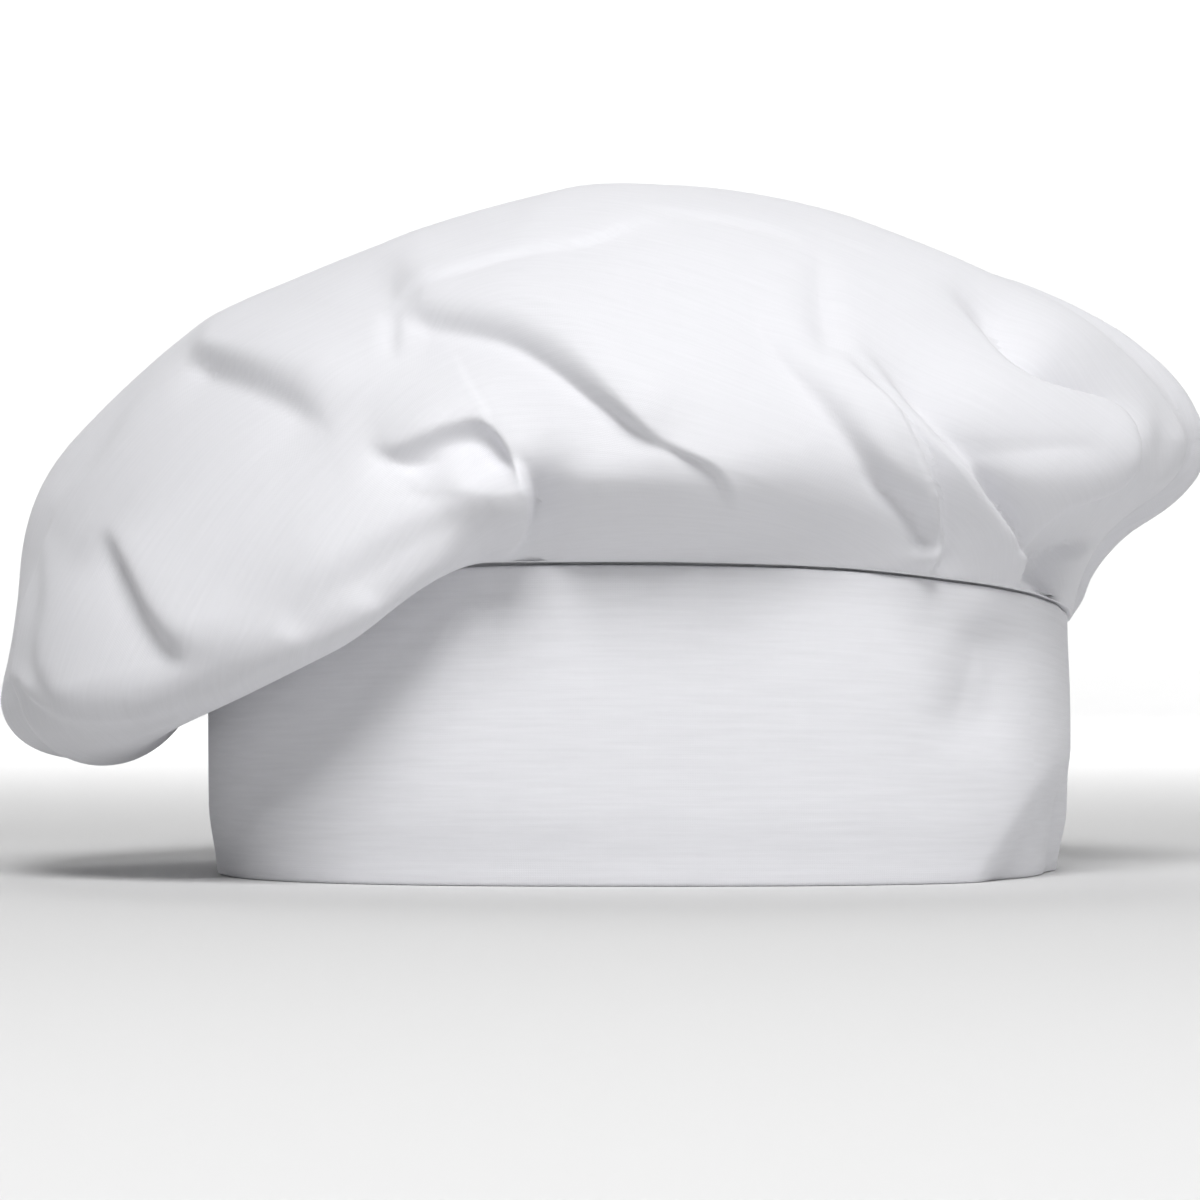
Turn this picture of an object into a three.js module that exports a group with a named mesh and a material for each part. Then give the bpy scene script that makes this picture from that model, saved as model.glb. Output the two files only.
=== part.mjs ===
// A floppy chef's hat: one round of white cotton, pleated all round into the top of a plain head band, puffed
// up and slumped to the left. The band stands on its lower rim and is open underneath for the head.
// Millimetres. +X is to the right as seen from the front, the front faces -Y, and +Z is up.
import * as THREE from 'three';

const CLOTH = 2; // wall of the crown and of the folded band
const GAP = 0.3; // clearance between the two pieces
const COLUMNS = 94; // upright strips of cloth round the hat
const CROWDING = 0.5; // how much closer together the strips are in front, and further apart behind

// The head band, a ring whose plan is a squarish oval.
const BAND = { halfWidth: 98.5, halfDepth: 89, squareness: 2.6, height: 69 };

// How far the band's wall is drawn in from that plan, at shares of its height.
const BAND_LEVELS = [
  { share: 0, inset: 1.8 },
  { share: 0.12, inset: 0.9 },
  { share: 0.5, inset: -0.4 },
  { share: 1, inset: 0 },
];

// The crown's upright sections. From the band's top edge the cloth leaves at an angle above the horizontal,
// swings out over a length, rounds over its widest point, whose tuck says how full it is below, and runs up
// to the peak.
const SECTIONS = [
  { bearing: 0, seamDrop: 12, leave: 83, swing: 28, reach: 129, level: 99, tuck: 17, fullness: 1.74 },
  { bearing: 14, seamDrop: 11, leave: 77, swing: 27, reach: 129, level: 98, tuck: 15, fullness: 1.72 },
  { bearing: 40, seamDrop: 9, leave: 45, swing: 24, reach: 127, level: 94, tuck: 20, fullness: 1.7 },
  { bearing: 90, seamDrop: 5, leave: 5, swing: 26, reach: 116, level: 88, tuck: 24, fullness: 1.8 },
  { bearing: 135, seamDrop: 6, leave: -40, swing: 38, reach: 130, level: 68, tuck: 36, fullness: 1.8 },
  { bearing: 180, seamDrop: 7, leave: -87, swing: 54, reach: 146.8, level: 43, tuck: 18, fullness: 1.83 },
  { bearing: 200, seamDrop: 5, leave: -86, swing: 55, reach: 145, level: 43, tuck: 15, fullness: 1.82 },
  { bearing: 212, seamDrop: 4, leave: -80, swing: 50, reach: 142.5, level: 44, tuck: 15, fullness: 1.8 },
  { bearing: 236, seamDrop: 1, leave: -60, swing: 30, reach: 128, level: 60, tuck: 13, fullness: 1.9 },
  { bearing: 247, seamDrop: 0.3, leave: -14, swing: 20, reach: 117, level: 80, tuck: 18, fullness: 1.95 },
  { bearing: 254, seamDrop: 0, leave: 20, swing: 10, reach: 112.5, level: 88, tuck: 11, fullness: 2 },
  { bearing: 275, seamDrop: 0, leave: 26, swing: 9, reach: 112.5, level: 92, tuck: 9, fullness: 1.95 },
  { bearing: 297, seamDrop: 1, leave: 48, swing: 13, reach: 112, level: 95, tuck: 11, fullness: 1.85 },
  { bearing: 314, seamDrop: 3.5, leave: 66, swing: 18, reach: 116, level: 96, tuck: 12, fullness: 1.76 },
  { bearing: 328, seamDrop: 6, leave: 70, swing: 20, reach: 121, level: 97, tuck: 12, fullness: 1.73 },
  { bearing: 343, seamDrop: 9, leave: 77, swing: 25, reach: 126, level: 98, tuck: 14, fullness: 1.7 },
];
const PEAK = { x: -7, y: 4, z: 160 };

// The pull to the left on the front cloth as it rises: most round one bearing, by so many degrees, over a
// spread of bearings, and all there by a share of the rows from the widest point to the peak.
const PULL = { bearing: 296, turn: 24, spread: 62, topShare: 0.4 };

// Rows of cloth from the sewn edge inside the band to the peak.
const ROWS = { tucked: 1, lip: 3, side: 8, top: 15 };
const SEAM = { tuckedDepth: 6, stand: 1, lipOut: 2, lipUp: 3.4 };

// The eye that the front folds are drawn for: in front of the middle of the band, at its own height.
const EYE = { distance: 1200, height: 50 };

// How squarely cloth faces that eye where a front fold starts, and by how much more it is whole.
const FACING = { from: 0.02, whole: 0.25 };

// Folds on the front, each a curve in the front view: across from the middle of the band and up from its rim.
// Left of the curve, walking along it, the cloth stands out by over, and right of it by under. Each is a
// height and how far off the line it fades.
const FRONT_FOLDS = {
  lobeEnd: { line: [-32, 75, -25, 82, -23, 92, -30, 102], over: [6, 20], under: [-2.4, 10] },
  arch: { line: [-58, 101, -44, 109, -28, 113, -28, 96], over: [1.6, 9], under: [-3.4, 9] },
  knuckle: { line: [-64, 102, -56, 97, -47, 96, -38, 101], over: [1, 8], under: [-2.4, 9] },
  rollBrow: { line: [-88, 60, -70, 73, -48, 87, -30, 93], over: [2.2, 12], under: [0.2, 12] },
  leftCrease: { line: [-105, 123, -97, 119, -84, 114, -66, 105], over: [3.2, 12], under: [-2.4, 10] },
  middleCrease: { line: [-57, 133, -20, 126, 4, 101, 23, 86], over: [3.5, 13], under: [-2.4, 12] },
  upperLayer: { line: [-58, 136, -38, 143, -12, 149, 12, 156], over: [1.3, 12], under: [-0.9, 9] },
  flatPleat: { line: [67, 72, 72, 88, 64, 106, 43, 127], over: [2.8, 8], under: [-2.6, 9] },
  pleatValley: { line: [23, 141, 36, 112, 68, 92, 68, 76], over: [1.4, 7], under: [-2.2, 9] },
  sidePleat: { line: [89, 69, 88, 92, 64, 106, 46, 126], over: [2, 8], under: [-3.4, 9] },
  topTuck: { line: [44, 152, 44, 144, 44, 136, 45, 127], over: [1.4, 12], under: [-1.8, 9] },
  bellyFoot: { line: [90, 71, 92, 84, 102, 90, 112, 94], over: [2.2, 12], under: [-3, 9] },
  bellyEdge: { line: [109, 91, 122, 108, 86, 112, 70, 139], over: [2.2, 12], under: [-3.6, 9] },
  lobeValley: { line: [-125, 84, -119, 72, -116, 58, -103, 48], over: [2, 12], under: [-2.8, 11] },
  lobeShoulder: { line: [-139, 84, -133, 94, -118, 106, -106, 124], over: [-1.4, 10], under: [0.8, 14] },
  lobeHem: { line: [-145, 51, -132, 36, -118, 34, -100, 44], over: [1.4, 14], under: [-2.6, 12] },
};

// Shares of a fold's line over which it grows at its start and dies at its end, the power by which its sides
// fall away, the steps that its line is drawn in, and half the width over which the cloth steps down at it.
const FOLD = { grows: 0.2, dies: 0.3, sharpness: 1.5, steps: 24, halfEdge: 4 };

// Pleats round the sides and back: bearing at the band, how many degrees each swings round on its way up, how
// far up it runs, how far its edge stands out and how far off that fades.
const PLEATS = [
  { bearing: 6, swing: -8, run: 0.6, rise: 4, spread: 14 },
  { bearing: 31, swing: -12, run: 0.7, rise: 5, spread: 18 },
  { bearing: 57, swing: -16, run: 0.55, rise: 4, spread: 18 },
  { bearing: 83, swing: -14, run: 0.75, rise: 5, spread: 20 },
  { bearing: 109, swing: -12, run: 0.6, rise: 5, spread: 20 },
  { bearing: 136, swing: -8, run: 0.7, rise: 4, spread: 20 },
  { bearing: 164, swing: -4, run: 0.6, rise: 3, spread: 18 },
  { bearing: 193, swing: 4, run: 0.5, rise: 3, spread: 18 },
];
const PLEAT_FOOT = { depth: 0.8, spread: 0.7 }; // shares of a pleat's rise and spread on its low side

// Broad hollows where the cloth sags between its pleats, and swellings, whose depth is less than nothing:
// where the middle lies, how deep it is and how far it spreads.
const HOLLOWS = [
  { at: [-64, 18, 138], depth: 6.4, spread: 34 },
  { at: [46, 52, 134], depth: 6, spread: 36 },
  { at: [-20, 84, 122], depth: 5, spread: 34 },
  { at: [-118, 40, 96], depth: 6, spread: 34 },
  { at: [98, 14, 128], depth: 4.2, spread: 30 },
  { at: [-44, 2, 151], depth: 6.6, spread: 31 },
  { at: [-136, -4, 92], depth: -5.4, spread: 24 },
  { at: [-100, -4, 122], depth: -2.4, spread: 28 },
  { at: [-140, -12, 36], depth: -2.5, spread: 12 },
  { at: [50, 2, 153], depth: -0.8, spread: 22 },
  { at: [74, -2, 145], depth: 3, spread: 26 },
];
const FREE_ROWS = 5; // rows above the lip over which folds, pleats and hollows grow to their full depth

const COTTON = { color: 0xe6e6ec, roughness: 0.9, metalness: 0 };

const radians = THREE.MathUtils.degToRad;
const smooth = (share) => THREE.MathUtils.smoothstep(share, 0, 1);

// How far round a bearing lies from another, by the shorter way.
const turnBetween = (bearing, other) => THREE.MathUtils.euclideanModulo(bearing - other + 180, 360) - 180;

// A column of SECTIONS at any bearing, joined by smooth curves that close on themselves round the hat.
function roundTheHat(column, bearing) {
  const count = SECTIONS.length;
  const section = (i) => SECTIONS[THREE.MathUtils.euclideanModulo(i, count)];
  const knot = (i) => section(i)[column];
  const place = (i) => section(i).bearing + 360 * Math.floor(i / count);
  const slope = (i) => (knot(i + 1) - knot(i - 1)) / (place(i + 1) - place(i - 1));
  const at = THREE.MathUtils.euclideanModulo(bearing, 360);
  const i = SECTIONS.findLastIndex((row) => row.bearing <= at);
  const width = place(i + 1) - place(i);
  const t = (at - place(i)) / width;
  return (
    knot(i) * (1 + 2 * t) * (1 - t) ** 2 +
    knot(i + 1) * t * t * (3 - 2 * t) +
    width * t * (1 - t) * (slope(i) * (1 - t) - slope(i + 1) * t)
  );
}

// The point of the band's oval at a bearing, moved in along that bearing to lie an inset inside the oval.
function oval(bearing, inset = 0) {
  const ray = new THREE.Vector2(Math.cos(radians(bearing)), Math.sin(radians(bearing)));
  const { halfWidth: a, halfDepth: b, squareness: n } = BAND;
  const radius = (Math.abs(ray.x / a) ** n + Math.abs(ray.y / b) ** n) ** (-1 / n);
  const [u, v] = [(radius * ray.x) / a, (radius * ray.y) / b];
  const outward = new THREE.Vector2(
    (Math.sign(u) * Math.abs(u) ** (n - 1)) / a,
    (Math.sign(v) * Math.abs(v) ** (n - 1)) / b,
  ).normalize();
  return ray.clone().multiplyScalar(radius - inset / outward.dot(ray));
}

const bandTop = (bearing) => BAND.height - roundTheHat('seamDrop', bearing);

// A point of the crown's outer face, moved out to clear the lip where it hangs down beside the band.
function clearOfBand(point) {
  const bearing = THREE.MathUtils.radToDeg(Math.atan2(point.y, point.x));
  if (point.z > bandTop(bearing) + SEAM.lipUp) return point;
  const least = oval(bearing, -SEAM.lipOut).length();
  const radius = Math.hypot(point.x, point.y);
  const grow = Math.max(1, least / radius);
  return new THREE.Vector3(point.x * grow, point.y * grow, point.z);
}

// Evenly spaced points along a cubic curve, without its first.
function alongCurve(corners, count) {
  const curve = new THREE.CubicBezierCurve(...corners);
  return curve.getSpacedPoints(count).slice(1);
}

// One section of the crown below its widest point: how far out and how high, from the sewn edge up.
function sectionLine(bearing) {
  const [leave, swing, reach, level, tuck] = ['leave', 'swing', 'reach', 'level', 'tuck'].map((column) =>
    roundTheHat(column, bearing),
  );
  const top = bandTop(bearing);
  const sewnAt = oval(bearing, CLOTH + GAP).length();
  const sewn = new THREE.Vector2(sewnAt, top - SEAM.tuckedDepth);
  const start = new THREE.Vector2(sewnAt, top + SEAM.stand);
  const lip = new THREE.Vector2(oval(bearing).length() + SEAM.lipOut, top + SEAM.lipUp);
  const away = new THREE.Vector2(Math.cos(radians(leave)), Math.sin(radians(leave)));
  const widest = new THREE.Vector2(reach, level);
  const overEdge = [
    start,
    new THREE.Vector2(sewnAt, lip.y),
    lip.clone().addScaledVector(away, -SEAM.lipOut),
    lip,
  ];
  const toWidest = [
    lip,
    lip.clone().addScaledVector(away, swing),
    new THREE.Vector2(reach, level - tuck),
    widest,
  ];
  return [sewn, start, ...alongCurve(overEdge, ROWS.lip), ...alongCurve(toWidest, ROWS.side)];
}

// The points of one upright section of the crown without its folds, from the sewn edge to short of the peak.
function uprightPoints(bearing) {
  const [c, s] = [Math.cos(radians(bearing)), Math.sin(radians(bearing))];
  const points = sectionLine(bearing).map((p) => new THREE.Vector3(p.x * c, p.x * s, p.y));
  const widest = points.at(-1);
  const power = 2 / roundTheHat('fullness', bearing);
  for (let i = 1; i < ROWS.top; i += 1) {
    const turn = (i / ROWS.top) * (Math.PI / 2);
    const inward = 1 - Math.cos(turn) ** power;
    const climb = Math.sin(turn) ** power;
    points.push(
      new THREE.Vector3(
        THREE.MathUtils.lerp(widest.x, PEAK.x, inward),
        THREE.MathUtils.lerp(widest.y, PEAK.y, inward),
        THREE.MathUtils.lerp(widest.z, PEAK.z, climb),
      ),
    );
  }
  return points;
}

// A strip of the crown's outer face without its folds, which is pulled round as it rises from its bearing.
function plainStrip(start) {
  const lipRow = ROWS.tucked + ROWS.lip;
  const rowCount = lipRow + ROWS.side + ROWS.top;
  return Array.from({ length: rowCount }, (_, row) => {
    const climb = smooth((row - lipRow) / (ROWS.side + PULL.topShare * ROWS.top));
    const off = turnBetween(start, PULL.bearing);
    const turned = PULL.turn * climb * Math.exp(-((off / PULL.spread) ** 2));
    return uprightPoints(start - turned)[row];
  });
}

const frontFolds = Object.values(FRONT_FOLDS).map((fold) => {
  const corners = [0, 2, 4, 6].map((i) => new THREE.Vector2(fold.line[i], fold.line[i + 1]));
  return { ...fold, track: new THREE.CubicBezierCurve(...corners).getPoints(FOLD.steps) };
});

// Where a seen point lies beside a fold: how far off, left positive, and the share of the fold before it.
function besideFold({ track }, seen) {
  const found = { off: Infinity, along: 0 };
  for (let i = 0; i < FOLD.steps; i += 1) {
    const run = track[i + 1].clone().sub(track[i]);
    const apart = seen.clone().sub(track[i]);
    const t = THREE.MathUtils.clamp(apart.dot(run) / run.lengthSq(), 0, 1);
    const far = apart.distanceTo(run.clone().multiplyScalar(t));
    if (far >= Math.abs(found.off)) continue;
    found.off = far * (run.cross(apart) < 0 ? -1 : 1);
    found.along = (i + t) / FOLD.steps;
  }
  return found;
}

// How far a fold's two sides lift the cloth at a signed distance off its line.
function stepLift({ over, under }, off) {
  const standing = ([height, spread]) => height * Math.exp(-((Math.abs(off) / spread) ** FOLD.sharpness));
  const side = smooth(0.5 + off / (2 * FOLD.halfEdge));
  return side * standing(over) + (1 - side) * standing(under);
}

// The height at which the front of the rim is seen, against the plane through the middle of the band.
const RIM_SEEN = EYE.height * (1 - EYE.distance / (EYE.distance - BAND.halfDepth));

// How far the front folds lift a point of the crown.
function frontLift(point, normal) {
  const facing = smooth((-normal.y - FACING.from) / FACING.whole);
  if (facing === 0) return 0;
  const shrink = EYE.distance / (EYE.distance + point.y);
  const seen = new THREE.Vector2(point.x * shrink, EYE.height + (point.z - EYE.height) * shrink - RIM_SEEN);
  return frontFolds.reduce((sum, fold) => {
    const { off, along } = besideFold(fold, seen);
    const whole = smooth(along / FOLD.grows) * smooth((1 - along) / FOLD.dies);
    return sum + whole * facing * stepLift(fold, off);
  }, 0);
}

// How far the pleats lift a point of a strip that starts at a bearing, a share of the way up to the peak.
function pleatLift(bearing, share, radius) {
  return PLEATS.reduce((sum, pleat) => {
    const climb = Math.min(share / pleat.run, 1);
    const edge = pleat.bearing + pleat.swing * climb;
    const turn = turnBetween(bearing, edge);
    const step = {
      over: [pleat.rise, pleat.spread],
      under: [-PLEAT_FOOT.depth * pleat.rise, PLEAT_FOOT.spread * pleat.spread],
    };
    return sum + stepLift(step, radians(turn) * radius) * (1 - climb * climb);
  }, 0);
}

// How far the hollows and swellings lift a point of the crown.
function hollowLift(point) {
  return HOLLOWS.reduce((sum, { at, depth, spread }) => {
    const far = point.distanceTo(new THREE.Vector3(...at));
    return sum - depth * Math.exp(-((far / spread) ** 2));
  }, 0);
}

// Normals of a grid of points that closes on itself round the hat, from each point's neighbours.
function gridNormals(grid, peak) {
  return grid.map((column, i) => {
    const next = grid[(i + 1) % grid.length];
    const last = grid.at(i - 1);
    return column.map((_, j) => {
      const round = next[j].clone().sub(last[j]);
      const above = column[j + 1] ?? peak;
      const up = above.clone().sub(column[Math.max(j - 1, 0)]);
      return round.cross(up).normalize();
    });
  });
}

// A strip of the crown's outer face with its folds, from the strip without them.
function foldedStrip(strip, normals, bearing) {
  const steps = strip.map((point, j) => (j === 0 ? 0 : point.distanceTo(strip[j - 1])));
  const whole = steps.reduce((sum, step) => sum + step);
  let run = 0;
  return strip.map((point, j) => {
    run += steps[j];
    if (j <= ROWS.tucked) return point;
    const pleats = pleatLift(bearing, run / whole, Math.hypot(point.x, point.y));
    const lift = pleats + frontLift(point, normals[j]) + hollowLift(point);
    const free = smooth((j - ROWS.tucked - 2) / FREE_ROWS);
    return clearOfBand(point.clone().addScaledVector(normals[j], lift * free));
  });
}

// The bearings of the strips of cloth, closer together in front.
const bearings = Array.from({ length: COLUMNS }, (_, i) => {
  const even = (2 * Math.PI * i) / COLUMNS;
  return THREE.MathUtils.radToDeg(even - CROWDING * Math.cos(even));
});

// A skin put together from faces with three or four corners.
class Skin {
  constructor() {
    this.corners = [];
  }

  triangle(a, b, c) {
    this.corners.push(a, b, c);
  }

  square(a, b, c, d) {
    this.triangle(a, b, c);
    this.triangle(a, c, d);
  }

  // The four-cornered faces of a wall, between two grids of points that close on themselves round the hat.
  wall(outer, inner) {
    outer.forEach((column, i) => {
      const k = (i + 1) % outer.length;
      for (let j = 0; j + 1 < column.length; j += 1) {
        this.square(column[j], outer[k][j], outer[k][j + 1], column[j + 1]);
        this.square(inner[k][j], inner[i][j], inner[i][j + 1], inner[k][j + 1]);
      }
      this.square(outer[k][0], column[0], inner[i][0], inner[k][0]);
    });
  }

  geometry() {
    const geometry = new THREE.BufferGeometry().setFromPoints(this.corners);
    geometry.computeVertexNormals();
    return geometry;
  }
}

// The head band, open at both ends.
function bandGeometry() {
  const face = (depth) =>
    bearings.map((bearing) =>
      BAND_LEVELS.map(({ share, inset }) => {
        const place = oval(bearing, inset + depth);
        return new THREE.Vector3(place.x, place.y, share * bandTop(bearing));
      }),
    );
  const outer = face(0);
  const inner = face(CLOTH);
  const skin = new Skin();
  skin.wall(outer, inner);
  outer.forEach((column, i) => {
    const k = (i + 1) % COLUMNS;
    skin.square(column.at(-1), outer[k].at(-1), inner[k].at(-1), inner[i].at(-1));
  });
  return skin.geometry();
}

// The crown, open at its sewn edge inside the band.
function crownGeometry() {
  const peak = new THREE.Vector3(PEAK.x, PEAK.y, PEAK.z);
  const plain = bearings.map(plainStrip);
  const plainNormals = gridNormals(plain, peak);
  const outer = plain.map((strip, i) => foldedStrip(strip, plainNormals[i], bearings[i]));
  const normals = gridNormals(outer, peak);
  const inner = outer.map((strip, i) =>
    strip.map((point, j) => {
      if (j > ROWS.tucked) return point.clone().addScaledVector(normals[i][j], -CLOTH);
      const sewn = oval(bearings[i], 2 * CLOTH + GAP);
      return new THREE.Vector3(sewn.x, sewn.y, point.z);
    }),
  );
  const innerPeak = new THREE.Vector3(PEAK.x, PEAK.y, PEAK.z - CLOTH);
  const skin = new Skin();
  skin.wall(outer, inner);
  outer.forEach((strip, i) => {
    const k = (i + 1) % COLUMNS;
    skin.triangle(strip.at(-1), outer[k].at(-1), peak);
    skin.triangle(inner[k].at(-1), inner[i].at(-1), innerPeak);
  });
  return skin.geometry();
}

// A sub-part in its own white cotton.
function cottonPiece(name, geometry) {
  const mesh = new THREE.Mesh(geometry, new THREE.MeshStandardMaterial(COTTON));
  mesh.name = name;
  return mesh;
}

const hat = new THREE.Group();
hat.add(cottonPiece('band', bandGeometry()), cottonPiece('crown', crownGeometry()));

// The origin is under the middle of the hat's box, in the plane of the rim.
const box = new THREE.Box3().setFromObject(hat);
const middle = box.getCenter(new THREE.Vector3());
hat.position.set(-middle.x, -middle.y, -box.min.z);

export default hat;
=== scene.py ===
"""A floppy chef's hat of white cotton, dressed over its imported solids.

One round of cloth is pleated all round into the top of a plain head band. It puffs up and slumps to the left. Sizes in
the classes are millimetres, in the frame of the band: across to the right from its middle, back from its middle, and
up from its rim. Only the mesh builder turns them into metres in the frame of the part.
"""

import logging
import math
from dataclasses import dataclass, field
from enum import Enum

import bpy
import numpy as np
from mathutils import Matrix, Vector

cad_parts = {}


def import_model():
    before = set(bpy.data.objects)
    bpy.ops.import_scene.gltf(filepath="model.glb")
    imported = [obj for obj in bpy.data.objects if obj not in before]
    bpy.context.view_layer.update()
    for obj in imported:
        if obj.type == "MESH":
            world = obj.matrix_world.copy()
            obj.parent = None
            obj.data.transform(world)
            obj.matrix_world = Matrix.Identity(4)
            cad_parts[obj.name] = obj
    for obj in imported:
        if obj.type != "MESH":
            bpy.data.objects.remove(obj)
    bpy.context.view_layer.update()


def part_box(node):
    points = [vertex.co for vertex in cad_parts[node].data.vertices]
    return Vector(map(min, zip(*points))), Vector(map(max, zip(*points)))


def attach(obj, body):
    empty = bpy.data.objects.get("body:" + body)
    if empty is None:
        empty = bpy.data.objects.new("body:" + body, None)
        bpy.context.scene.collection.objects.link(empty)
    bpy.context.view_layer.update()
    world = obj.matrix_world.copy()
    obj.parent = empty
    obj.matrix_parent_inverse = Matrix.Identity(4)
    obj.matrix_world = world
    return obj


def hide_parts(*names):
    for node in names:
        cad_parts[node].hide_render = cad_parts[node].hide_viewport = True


Array = np.ndarray
LOG = logging.getLogger("chef_hat")
METRES = 0.001
BODY = "root"

# The steps of a fold's line between two of its points, and how far a hanging edge is felt, in times its lean.
TRACK_STEPS = 6
HANG_REACH = 2.5


def smooth(share: Array) -> Array:
    """Eases a share from 0 to 1, flat at both ends."""
    held = np.clip(share, 0.0, 1.0)
    return held * held * (3.0 - 2.0 * held)


@dataclass(frozen=True)
class Eye:
    """Where the photograph was taken from: in front of the band's middle, low down and far off.

    Attributes:
        distance: how far in front of the band's middle.
        height: how far above the rim.
        frame_width: the picture's width where it passes through the band's middle.
        frame_left: how far left of the band's middle the picture's middle lies.
        frame_up: how far above the rim, as seen, the picture's middle lies.
    """

    distance: float = 1200.0
    height: float = 50.0
    frame_width: float = 278.0
    frame_left: float = 8.9
    frame_up: float = 66.5

    def rim_seen(self, half_depth: float) -> float:
        """The height at which the front of the rim is seen, against the plane through the band's middle."""
        return self.height * (1.0 - self.distance / (self.distance - half_depth))

    def see(self, points: Array, half_depth: float) -> Array:
        """Projects points into the front view.

        Args:
            points: points of the hat, with three columns at the end.
            half_depth: how far in front of the band's middle its rim lies.

        Returns:
            How far right of the band's middle and how far above the front of the rim each point is seen.
        """
        shrink = self.distance / (self.distance + points[..., 1])
        across = points[..., 0] * shrink
        up = self.height + (points[..., 2] - self.height) * shrink - self.rim_seen(half_depth)
        return np.stack([across, up], -1)


@dataclass(frozen=True)
class Section:
    """An upright section of the crown at one bearing, anticlockwise from the right of the hat.

    Attributes:
        bearing: degrees round the hat.
        seam_drop: how far the band's top edge lies below its height in front.
        leave: the angle above the horizontal at which the cloth leaves the seam.
        swing: how long it holds that angle.
        reach: how far out its widest point lies.
        level: how high that point is.
        tuck: how full the cloth is below it.
        fullness: how full the cloth is above it.
    """

    bearing: float
    seam_drop: float
    leave: float
    swing: float
    reach: float
    level: float
    tuck: float
    fullness: float


SECTIONS = (
    Section(0, 12, 83, 28, 129, 99, 17, 1.74),
    Section(14, 11, 77, 27, 129, 98, 15, 1.72),
    Section(40, 9, 45, 24, 127, 94, 20, 1.7),
    Section(90, 5, 5, 26, 116, 88, 24, 1.8),
    Section(135, 6, -40, 38, 130, 68, 36, 1.8),
    Section(180, 7, -87, 54, 146.8, 43, 18, 1.83),
    Section(200, 5, -86, 55, 145, 43, 15, 1.82),
    Section(212, 4, -80, 50, 142.5, 44, 15, 1.8),
    Section(236, 1, -60, 30, 128, 60, 13, 1.9),
    Section(247, 0.3, -14, 20, 117, 80, 18, 1.95),
    Section(254, 0, 20, 10, 112.5, 88, 11, 2.0),
    Section(275, 0, 26, 9, 112.5, 92, 9, 1.95),
    Section(297, 1, 48, 13, 112, 95, 11, 1.85),
    Section(314, 3.5, 66, 18, 116, 96, 12, 1.76),
    Section(328, 6, 70, 20, 121, 97, 12, 1.73),
    Section(343, 9, 77, 25, 126, 98, 14, 1.7),
)


class Step(Enum):
    """How the cloth climbs from the low side of a crease to its high side.

    Each is the place of the drawn line across the step, from 0 at its foot to 1 at its top.
    """

    VALLEY = 0.0
    RIDGE = 1.0
    ROUND = 0.5

    def ease(self, share: Array) -> Array:
        """Says how far the cloth has climbed: a valley's foot and a ridge's top are sharp.

        Args:
            share: the shares of the step's width.

        Returns:
            The shares of the climb.
        """
        if self is Step.VALLEY:
            return 1.0 - (1.0 - share) ** 2
        return share**2 if self is Step.RIDGE else smooth(share)


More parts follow.
